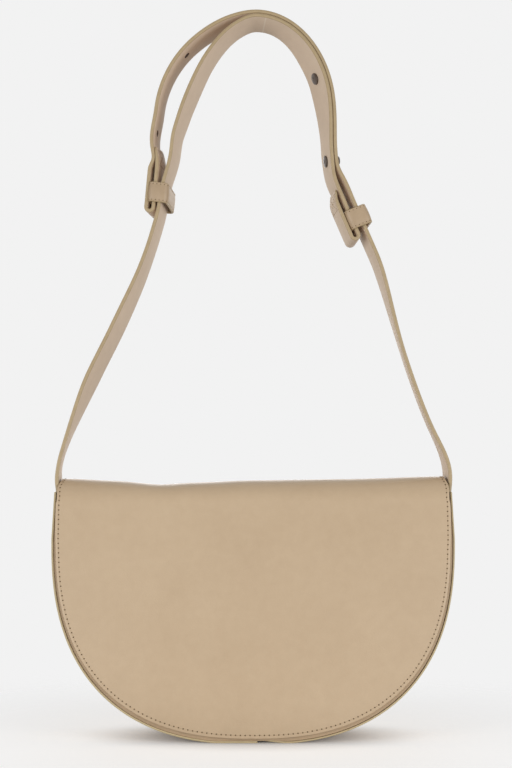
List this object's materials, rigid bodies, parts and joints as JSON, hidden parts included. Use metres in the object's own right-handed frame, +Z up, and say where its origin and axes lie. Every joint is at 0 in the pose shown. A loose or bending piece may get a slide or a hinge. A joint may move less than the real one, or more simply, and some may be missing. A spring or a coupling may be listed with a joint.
{
  "type": "saddle handbag",
  "caption": "Half-moon saddle bag with a front-covering flap, wedge-shaped gusseted body and a two-part adjustable shoulder strap.",
  "frame": {"origin": "middle of the flat zone of the base, on the floor", "axes": "+Z up, +X to the right seen from the front, +Y from the flap to the back panel"},
  "size_m": [0.2638, 0.0827, 0.488],
  "materials": {
    "body_leather": "smooth coated leather, satin",
    "flap_leather": "smooth coated leather, satin",
    "gusset_leather": "smooth coated leather, satin",
    "strap_leather": "smooth coated leather with painted edges",
    "lining": "woven cotton cloth",
    "board": "pressed fibre board",
    "snap_metal": "satin nickel",
    "stud_metal": "dark gunmetal plating"
  },
  "bodies": {
    "root": {"front_panel": "body_leather", "back_panel": "body_leather", "gusset_left": "gusset_leather", "gusset_right": "gusset_leather", "gusset_board": "board", "front_board": "board", "back_board": "board", "front_lining": "lining", "back_lining": "lining", "gusset_lining": "lining", "front_facing": "body_leather", "back_facing": "body_leather", "slip_pocket": "lining", "pocket_binding": "body_leather", "snap_socket": "snap_metal", "snap_socket_washer": "snap_metal", "strap_end_left": "strap_leather", "strap_end_right": "strap_leather"},
    "flap": {"flap_skin": "flap_leather", "flap_board": "board", "flap_lining": "lining", "snap_plug": "snap_metal", "snap_plug_washer": "snap_metal"},
    "strap": {"strap_left": "strap_leather", "strap_right": "strap_leather", "strap_studs": "stud_metal", "stud_screws": "stud_metal"},
    "keeper_left": {"keeper_left": "strap_leather"},
    "keeper_right": {"keeper_right": "strap_leather"}
  },
  "joints": [
    {"name": "flap_open", "type": "hinge", "parent": "root", "child": "flap", "pos_m": [0, 0.01496, 0.158], "axis": [-1, 0, 0], "range_deg": [0, 125]},
    {"name": "strap_swing", "type": "hinge", "parent": "root", "child": "strap", "pos_m": [0, 0.01496, 0.158], "axis": [-1, 0, 0], "range_deg": [0, 112.5]},
    {"name": "keeper_left_slide", "type": "slide", "parent": "strap", "child": "keeper_left", "axis": [0.1392, 0.1035, 0.9848], "range_m": [0, 0.008]},
    {"name": "keeper_right_slide", "type": "slide", "parent": "strap", "child": "keeper_right", "axis": [-0.4115, 0.0953, 0.9064], "range_m": [0, 0.008]}
  ],
  "couplings": [
    {"joint": "strap_swing", "follows": "flap_open", "ratio": 0.9}
  ]
}
